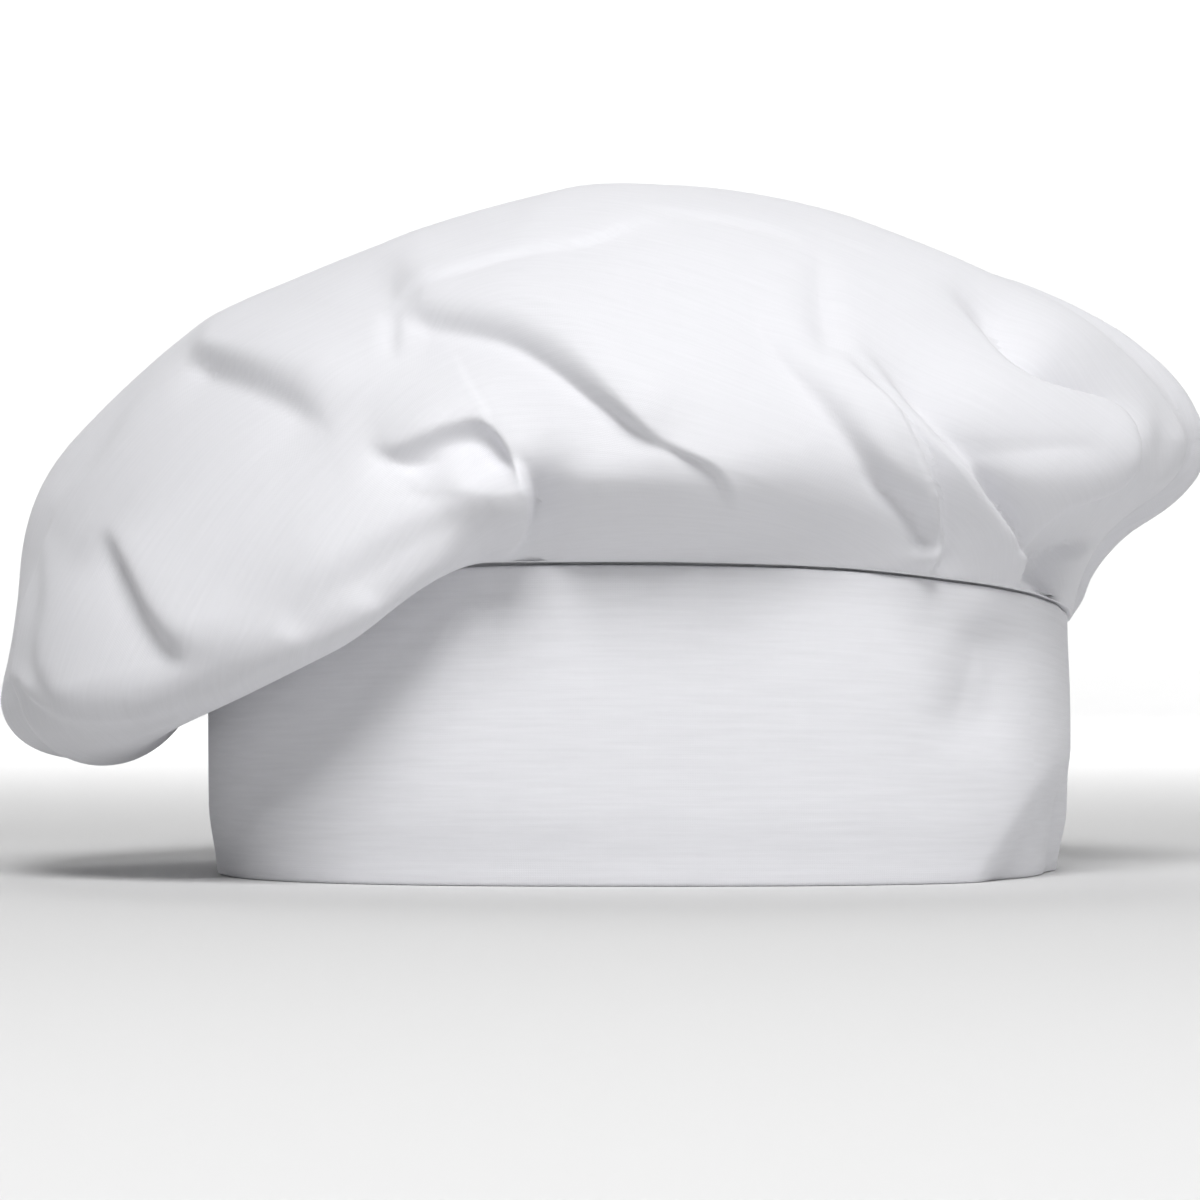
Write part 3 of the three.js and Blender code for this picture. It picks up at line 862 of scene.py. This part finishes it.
    def profile(self) -> Array:
        """Draws its wall's outline, up outside and down inside.

        Returns:
            The share of the height and the depth into the wall of each corner.
        """
        middle = self.wall / 2.0
        low = self.hem_round * self.hem
        shallow, deep = self.hem_round * middle, (2.0 - self.hem_round) * middle
        straight = 1.0 - 2.0 * self.hem
        outside = [(self.hem + straight * t, 0.0) for t in np.linspace(0.0, 1.0, self.outside_rows)]
        over = [(1.0 - low, shallow), (1.0, middle), (1.0 - low, deep)]
        inside = [(self.hem + straight * t, self.wall) for t in np.linspace(1.0, 0.0, self.inside_rows)]
        under = [(low, deep), (0.0, middle), (low, shallow)]
        return np.array([*outside, *over, *inside, *under])

    def dress(self, piece: bpy.types.Object) -> None:
        """Gives the ring its cloth and its place in the part.

        Args:
            piece: the band's object.
        """
        piece.data.materials.append(self.finish.material())
        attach(piece, BODY)
        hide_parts("band")


def round_the_hat(column: str, bearing: Array) -> Array:
    """A column of SECTIONS at any bearing, joined by smooth curves that close on themselves round the hat.

    Args:
        column: the column's name.
        bearing: degrees round the hat.

    Returns:
        Its value at each bearing.
    """
    places = np.array([s.bearing for s in SECTIONS], float)
    knots = np.array([getattr(s, column) for s in SECTIONS], float)
    count = len(places)
    at = np.mod(bearing, 360.0)
    i = np.clip(np.searchsorted(places, at, side="right") - 1, 0, count - 1)
    turns = np.arange(-1, count + 2)
    place = places[turns % count] + 360.0 * (turns // count)
    knot = knots[turns % count]
    slope = (knot[2:] - knot[:-2]) / (place[2:] - place[:-2])
    start, end = place[i + 1], place[i + 2]
    width = end - start
    t = (at - start) / width
    return (
        knot[i + 1] * (1 + 2 * t) * (1 - t) ** 2
        + knot[i + 2] * t * t * (3 - 2 * t)
        + width * t * (1 - t) * (slope[i] * (1 - t) - slope[i + 1] * t)
    )


@dataclass
class Crown:
    """The crown: one round of cotton, pleated into the band, puffed up and slumped to the left.

    Attributes:
        band: the band that it is sewn into.
        eye: where the front folds were drawn from.
        peak: its highest point.
        wall: the thickness of its cloth.
        gap: its clearance inside the band.
        tucked_depth: how far its edge reaches down inside the band.
        stand: how far it rises straight up from the band's edge.
        lip_out: how far it rolls out over the edge.
        lip_up: how far it rolls up over the edge.
        hang_out: how far out it hangs beside the band.
        pull_bearing: where its front is pulled furthest to the left as it rises.
        pull_turn: how many degrees it is pulled.
        pull_spread: how many degrees to each side the pull fades.
        pull_share: the share of the top rows on which the pull still grows.
        turned: how far the cloth has to face the front before a fold drawn there shows.
        turning: how much further until it shows in full.
        flat_middle: how far the last row lies from the middle of the flat round of cloth.
        tucked_rows: rows of cloth inside the band.
        lip_rows: rows of cloth over the edge.
        still_rows: how many rows below the edge's last one the folds begin.
        waking_rows: rows of cloth over which the folds grow.
        side_rows: rows of cloth up to the widest point.
        top_rows: rows of cloth up to the peak.
        inner_step: how many times coarser the inner face is.
    """

    band: Band
    eye: Eye = field(default_factory=Eye)
    peak: tuple[float, float, float] = (-7.0, 4.0, 160.0)
    wall: float = 1.0
    gap: float = 0.3
    tucked_depth: float = 6.0
    stand: float = 0.8
    lip_out: float = 1.2
    lip_up: float = 0.9
    hang_out: float = 1.4
    pull_bearing: float = 296.0
    pull_turn: float = 24.0
    pull_spread: float = 62.0
    pull_share: float = 0.4
    turned: float = 0.04
    turning: float = 0.34
    flat_middle: float = 4.0
    tucked_rows: int = 2
    lip_rows: int = 6
    still_rows: int = 3
    waking_rows: int = 7
    side_rows: int = 46
    top_rows: int = 136
    inner_step: int = 3
    finish: Cotton = field(default_factory=lambda: Cotton("crown_cotton", slub=0.03))

    def rows(self) -> int:
        """How many points each of its columns has, without the peak."""
        return self.tucked_rows + self.lip_rows + self.side_rows + self.top_rows

    def plain(self) -> Array:
        """The cloth's outer face before its folds.

        Returns:
            Points by column and row.
        """
        start = self.band.bearings()[:, None]
        row = np.arange(self.rows())[None, :]
        risen = row - self.tucked_rows - self.lip_rows
        climb = smooth(risen / (self.side_rows + self.pull_share * self.top_rows))
        off = np.mod(start - self.pull_bearing + 180.0, 360.0) - 180.0
        pulled = self.pull_turn * climb * np.exp(-((off / self.pull_spread) ** 2))
        bearing = start - pulled
        turn = np.radians(bearing)
        out, up = self.section(bearing, row)
        points = np.stack([out * np.cos(turn), out * np.sin(turn), up], -1)
        share = np.clip(risen - self.side_rows, 0, self.top_rows) / self.top_rows
        return self.towards_peak(points, bearing, share)

    def section(self, bearing: Array, row: Array) -> tuple[Array, Array]:
        """How far out and how high the cloth is on each row, up to its widest point.

        Args:
            bearing: degrees round the hat.
            row: the row's number.

        Returns:
            The distance out and the height.
        """
        column = {name: round_the_hat(name, bearing) for name in ("leave", "swing", "reach", "level", "tuck")}
        leave = np.radians(column["leave"])
        away = np.stack([np.cos(leave), np.sin(leave)], -1)
        top = self.band.top(bearing)
        sewn = self.band.radius(bearing, self.band.wall + self.gap)
        start = np.stack([sewn, top + self.stand], -1)
        lip = np.stack([self.band.radius(bearing) + self.lip_out, top + self.lip_up], -1)
        widest = np.stack([column["reach"], column["level"]], -1)
        rise = np.stack([sewn, lip[..., 1]], -1)
        below = widest - np.stack([0.0 * sewn, column["tuck"]], -1)
        lip_share = np.clip((row - self.tucked_rows) / self.lip_rows, 0.0, 1.0)
        side_share = np.clip((row - self.tucked_rows - self.lip_rows) / self.side_rows, 0.0, 1.0)
        lip_curve = bezier(start, rise, lip - self.lip_out * away, lip, lip_share)
        side_curve = bezier(lip, lip + column["swing"][..., None] * away, below, widest, side_share)
        placed = np.where((side_share > 0.0)[..., None], side_curve, lip_curve)
        sunk = (1.0 - np.clip(row / self.tucked_rows, 0.0, 1.0)) * (self.tucked_depth + self.stand)
        return placed[..., 0], placed[..., 1] - sunk

    def towards_peak(self, points: Array, bearing: Array, share: Array) -> Array:
        """Carries the rows above the widest point up to the peak.

        Args:
            points: points, at the widest point on those rows.
            bearing: degrees round the hat.
            share: how far up to the peak each row is.

        Returns:
            The points in place.
        """
        fullness = round_the_hat("fullness", bearing)
        quarter = share * np.pi / 2.0
        inward = 1.0 - np.cos(quarter) ** (2.0 / fullness)
        climb = np.sin(quarter) ** (2.0 / fullness)
        way = np.stack([inward, inward, climb], -1)
        return points + way * (np.array(self.peak) - points)

    def folded(self, plain: Array) -> Array:
        """Lays the folds, pleats and hollows into the plain cloth.

        Args:
            plain: the cloth's outer face, by column and row.

        Returns:
            The folded face.
        """
        peak = np.array(self.peak)
        normal = grid_normals(plain, peak)
        moved = self.creased(plain, normal) + self.pleated(plain)[..., None] * normal
        for hollow in HOLLOWS:
            far = np.linalg.norm(plain - np.array(hollow.at), axis=-1)
            moved -= (hollow.depth * np.exp(-((far / hollow.spread) ** 2)))[..., None] * normal
        moved += sum(ripple.lift(plain) for ripple in RIPPLES)[..., None] * normal
        risen = np.arange(self.rows()) - self.tucked_rows - self.lip_rows
        moved *= smooth((risen + self.still_rows) / self.waking_rows)[None, :, None]
        moved = self.softened(moved)
        return self.clear_of_band(plain + moved)

    def creased(self, plain: Array, normal: Array) -> Array:
        """How far the drawn creases move the cloth.

        Args:
            plain: the cloth's outer face.
            normal: its normals.

        Returns:
            The movement of each point.
        """
        # Cloth that faces down is moved level, so that no fold pushes it onto the band.
        moved = np.zeros_like(plain)
        level = normal * np.where(normal[..., 2:] < 0.0, (1.0, 1.0, 0.0), (1.0, 1.0, 1.0))
        level /= np.linalg.norm(level, axis=-1, keepdims=True) + 1e-9
        seen = self.eye.see(plain, self.band.half_depth)
        facing = smooth((-normal[..., 1] - self.turned) / self.turning)
        for crease in CREASES:
            off, along, left = crease.beside(seen)
            moved += (crease.lift(off, along) * facing)[..., None] * level
            drawn = crease.hang(off, along) * facing
            moved[..., 0] -= drawn * left[..., 0]
            moved[..., 2] -= drawn * left[..., 1]
        return moved

    def pleated(self, plain: Array) -> Array:
        """Says how far the pleats round the sides and back lift the cloth.

        Args:
            plain: the cloth's outer face, by column and row.

        Returns:
            How far out each point moves.
        """
        steps = np.linalg.norm(np.diff(plain, axis=1), axis=-1)
        run = np.concatenate([np.zeros((len(plain), 1)), np.cumsum(steps, 1)], 1)
        share = run / run[:, -1:]
        start = self.band.bearings()[:, None]
        radius = np.hypot(plain[..., 0], plain[..., 1])
        total = np.zeros(plain.shape[:-1])
        for pleat in PLEATS:
            climb = np.clip(share / pleat.run, 0.0, 1.0)
            turn = np.mod(start - pleat.bearing - pleat.swing * climb + 540.0, 360.0) - 180.0
            total += pleat.lift(np.radians(turn) * radius) * (1.0 - climb**2)
        return total

    def softened(self, moved: Array) -> Array:
        """Blurs a movement a little, so that no crease is a saw edge.

        Args:
            moved: the movement of each point, by column and row.

        Returns:
            The blurred movement.
        """
        round_it = 0.5 * moved + 0.25 * (np.roll(moved, 1, 0) + np.roll(moved, -1, 0))
        up_it = 0.5 * round_it[:, 1:-1] + 0.25 * (round_it[:, 2:] + round_it[:, :-2])
        return np.concatenate([round_it[:, :1], up_it, round_it[:, -1:]], 1)

    def clear_of_band(self, points: Array) -> Array:
        """Keeps the cloth outside the band where it hangs down beside it.

        Args:
            points: the folded face, by column and row.

        Returns:
            The face with those points moved out.
        """
        bearing = np.degrees(np.arctan2(points[..., 1], points[..., 0]))
        radius = np.hypot(points[..., 0], points[..., 1])
        least = self.band.radius(bearing, -self.hang_out)
        beside = points[..., 2] < self.band.top(bearing) + self.lip_up
        beside[:, : self.tucked_rows + self.lip_rows + 1] = False
        grow = np.where(beside & (radius < least), least / radius, 1.0)
        return points * np.stack([grow, grow, np.ones_like(grow)], -1)

    def build(self, maker: MeshMaker) -> bpy.types.Object:
        """Builds the crown as one closed wall, with a coarser face inside.

        Args:
            maker: makes the mesh.

        Returns:
            The crown's object.
        """
        outer = self.folded(self.plain())
        peak = outer[:, -1].mean(0)
        columns, rows = outer.shape[:2]
        inner = self.lining(outer)
        points = np.concatenate([outer.reshape(-1, 3), peak[None], inner.reshape(-1, 3), peak[None]])
        first_inner = columns * rows + 1
        points[-1, 2] -= self.wall
        faces = ring_faces(columns, rows, 0, True)
        faces += ring_faces(*inner.shape[:2], first_inner, False)
        faces += self.closing_faces(columns, rows, inner.shape[1], first_inner)
        uvs = self.flat_places(outer, inner.shape[1])
        corners = np.concatenate([np.array(face) for face in faces])
        return maker.make("pleated_crown", points, faces, uvs[corners])

    def lining(self, outer: Array) -> Array:
        """The inner face of the cloth, coarser than the outer one.

        Args:
            outer: the folded outer face.

        Returns:
            Points by column and row.
        """
        step = self.inner_step
        inner = (outer - self.wall * grid_normals(outer, np.array(self.peak)))[::step, ::step]
        inner[:, 0] = outer[::step, 0]
        turn = np.radians(self.band.bearings()[::step])
        sewn = self.band.radius(np.degrees(turn), self.band.wall + self.gap + self.wall)
        inner[:, 0, 0] = sewn * np.cos(turn)
        inner[:, 0, 1] = sewn * np.sin(turn)
        return inner

    def closing_faces(self, columns: int, rows: int, inner_rows: int, first_inner: int) -> list[tuple[int, ...]]:
        """Faces at the peak and round the sewn edge.

        Args:
            columns: the outer face's columns.
            rows: its rows.
            inner_rows: the inner face's rows.
            first_inner: the number of its first corner.

        Returns:
            The corners of each face.
        """
        step = self.inner_step
        outer_peak = columns * rows
        inner_peak = first_inner + columns // step * inner_rows
        faces: list[tuple[int, ...]] = []
        for i in range(columns):
            faces.append((i * rows + rows - 1, (i + 1) % columns * rows + rows - 1, outer_peak))
        for m in range(columns // step):
            here, there = (first_inner + k % (columns // step) * inner_rows for k in (m, m + 1))
            edge = [(step * m + k) % columns * rows for k in range(step, -1, -1)]
            faces.append((there + inner_rows - 1, here + inner_rows - 1, inner_peak))
            faces.append((*edge, here, there))
        return faces

    def flat_places(self, outer: Array, inner_rows: int) -> Array:
        """Where each corner lies on the round of cloth before it was sewn.

        Args:
            outer: the folded outer face.
            inner_rows: the inner face's rows.

        Returns:
            A place in metres for each corner, outer face first.
        """
        steps = np.linalg.norm(np.diff(outer, axis=1), axis=-1).mean(0)
        far = np.concatenate([np.cumsum(steps[::-1])[::-1], [0.0]]) + self.flat_middle
        turn = np.radians(self.band.bearings())[:, None]
        flat = np.stack([far * np.cos(turn), far * np.sin(turn)], -1) * METRES
        inside = flat[:: self.inner_step, :: self.inner_step][:, :inner_rows]
        centre = np.zeros((1, 2))
        return np.concatenate([flat.reshape(-1, 2), centre, inside.reshape(-1, 2), centre])

    def dress(self, piece: bpy.types.Object) -> None:
        """Gives the crown its cloth and its place in the part.

        Args:
            piece: the crown's object.
        """
        piece.data.materials.append(self.finish.material())
        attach(piece, BODY)
        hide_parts("crown")


def bezier(start: Array, rise: Array, draw: Array, end: Array, share: Array) -> Array:
    """Points along cubic curves.

    Args:
        start: where each starts.
        rise: what it starts towards.
        draw: what it comes from at its end.
        end: where it ends.
        share: the share of the way along.

    Returns:
        The points.
    """
    t = share[..., None]
    return (1 - t) ** 3 * start + 3 * t * (1 - t) ** 2 * rise + 3 * t * t * (1 - t) * draw + t**3 * end


@dataclass(frozen=True)
class Lamp:
    """A square soft light. Its sizes are metres.

    Attributes:
        name: the light's name.
        place: where it hangs.
        aim: what it faces.
        size: the length of its sides.
        power: its power in watts.
        at_hat: whether what it faces is measured from the band's middle.
    """

    name: str
    place: tuple[float, float, float]
    aim: tuple[float, float, float]
    size: float
    power: float
    at_hat: bool = True


LAMPS = (
    Lamp("key_light", (0.02, -1.15, 1.35), (0.0, 0.0, 0.08), 0.75, 26.5),
    Lamp("side_light", (1.5, -0.6, 0.36), (0.0, 0.0, 0.08), 0.6, 3.0),
    Lamp("back_light", (0.0, 1.3, 1.5), (0.0, 0.35, 0.0), 0.9, 9.0),
    Lamp("left_wall_light", (-1.6, 1.2, 1.9), (-1.3, 4.2, 0.6), 1.2, 85.0, False),
    Lamp("right_wall_light", (1.6, 1.2, 1.9), (1.3, 4.2, 0.6), 1.2, 85.0, False),
)


@dataclass
class Studio:
    """A pale round studio, its lights and the camera. Sizes here are metres.

    Attributes:
        middle: the band's middle on the floor.
        eye: where the photograph was taken from.
        floor_rings: how far out the flat floor's rings lie.
        floor_radius: how far the flat floor reaches.
        bend: how far the floor takes to curve up into the wall.
        wall_height: how high the wall round it rises.
        strips: how many strips it is meshed in.
        pale: how light its paper is.
        glow: how strong the even light from all round is.
    """

    middle: Vector
    eye: Eye = field(default_factory=Eye)
    floor_rings: tuple[float, ...] = (0.4, 1.2, 2.2)
    floor_radius: float = 3.0
    bend: float = 1.2
    wall_height: float = 2.2
    strips: int = 96
    pale: float = 0.68
    glow: float = 0.05

    def backdrop(self) -> bpy.types.Object:
        """Builds the floor, which curves up into a wall all round.

        Returns:
            The floor's object.
        """
        turn = np.linspace(0.0, np.pi / 2.0, 13)
        out = [*self.floor_rings, *(self.floor_radius + self.bend * np.sin(turn))]
        up = [*(0.0 for _ in self.floor_rings), *(self.bend * (1.0 - np.cos(turn)))]
        out.append(out[-1])
        up.append(self.wall_height)
        points = [(r * math.cos(a), r * math.sin(a), z)
                  for a in np.linspace(0.0, 2.0 * np.pi, self.strips, endpoint=False)
                  for r, z in zip(out, up)]
        rows = len(out)
        faces = ring_faces(self.strips, rows, 0, False)
        faces += [(i * rows, (i + 1) % self.strips * rows, len(points)) for i in range(self.strips)]
        points.append((0.0, 0.0, 0.0))
        mesh = bpy.data.meshes.new("studio_floor")
        mesh.from_pydata(points, [], faces)
        mesh.shade_smooth()
        made = put("studio_floor", mesh)
        paper = bpy.data.materials.new("white_paper")
        paper.use_nodes = True
        shader = paper.node_tree.nodes["Principled BSDF"]
        shader.inputs["Base Color"].default_value = (self.pale, self.pale, self.pale, 1.0)
        shader.inputs["Roughness"].default_value = 0.95
        shader.inputs["Specular IOR Level"].default_value = 0.1
        mesh.materials.append(paper)
        return made

    def hang(self, lamp: Lamp) -> None:
        """Hangs a light in the studio and turns it to what it faces.

        Args:
            lamp: the light.
        """
        light = bpy.data.lights.new(lamp.name, "AREA")
        light.size = lamp.size
        light.energy = lamp.power
        aim = Vector(lamp.aim) + (self.middle if lamp.at_hat else Vector())
        put(lamp.name, light, Vector(lamp.place), aim)

    def sky(self) -> None:
        """Fills the studio with even white light from all round."""
        world = bpy.data.worlds.new("studio_light")
        world.use_nodes = True
        sheet = world.node_tree.nodes["Background"]
        sheet.inputs["Color"].default_value = (1.0, 1.0, 1.0, 1.0)
        sheet.inputs["Strength"].default_value = self.glow
        bpy.context.scene.world = world

    def camera(self) -> None:
        """Puts the camera where the photograph was taken from, with the photograph's frame."""
        lens = bpy.data.cameras.new("camera")
        lens.sensor_width = 36.0
        lens.lens = lens.sensor_width * self.eye.distance / self.eye.frame_width
        lens.clip_start = 0.05
        lens.clip_end = 50.0
        place = self.middle + Vector((0.0, -self.eye.distance, self.eye.height)) * METRES
        up = self.eye.frame_up + self.eye.rim_seen(Band().half_depth)
        aim = self.middle + Vector((-self.eye.frame_left, 0.0, up)) * METRES
        bpy.context.scene.camera = put("camera", lens, place, aim)

    def build(self) -> None:
        """Sets the whole studio up."""
        self.backdrop()
        for lamp in LAMPS:
            self.hang(lamp)
        self.sky()
        self.camera()
        bpy.context.scene.view_settings.view_transform = "Standard"


def main() -> None:
    """Builds the hat and its studio, and writes how large it came out."""
    logging.basicConfig(level=logging.INFO, format="%(name)s: %(message)s")
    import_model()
    low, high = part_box("band")
    middle = (low + high) / 2.0
    middle.z = 0.0
    maker = MeshMaker(middle)
    band = Band()
    crown = Crown(band)
    for part in (band, crown):
        piece = part.build(maker)
        part.dress(piece)
        LOG.info("%s: %d faces", piece.name, len(piece.data.polygons))
    Studio(middle).build()


if __name__ == "__main__":
    main()
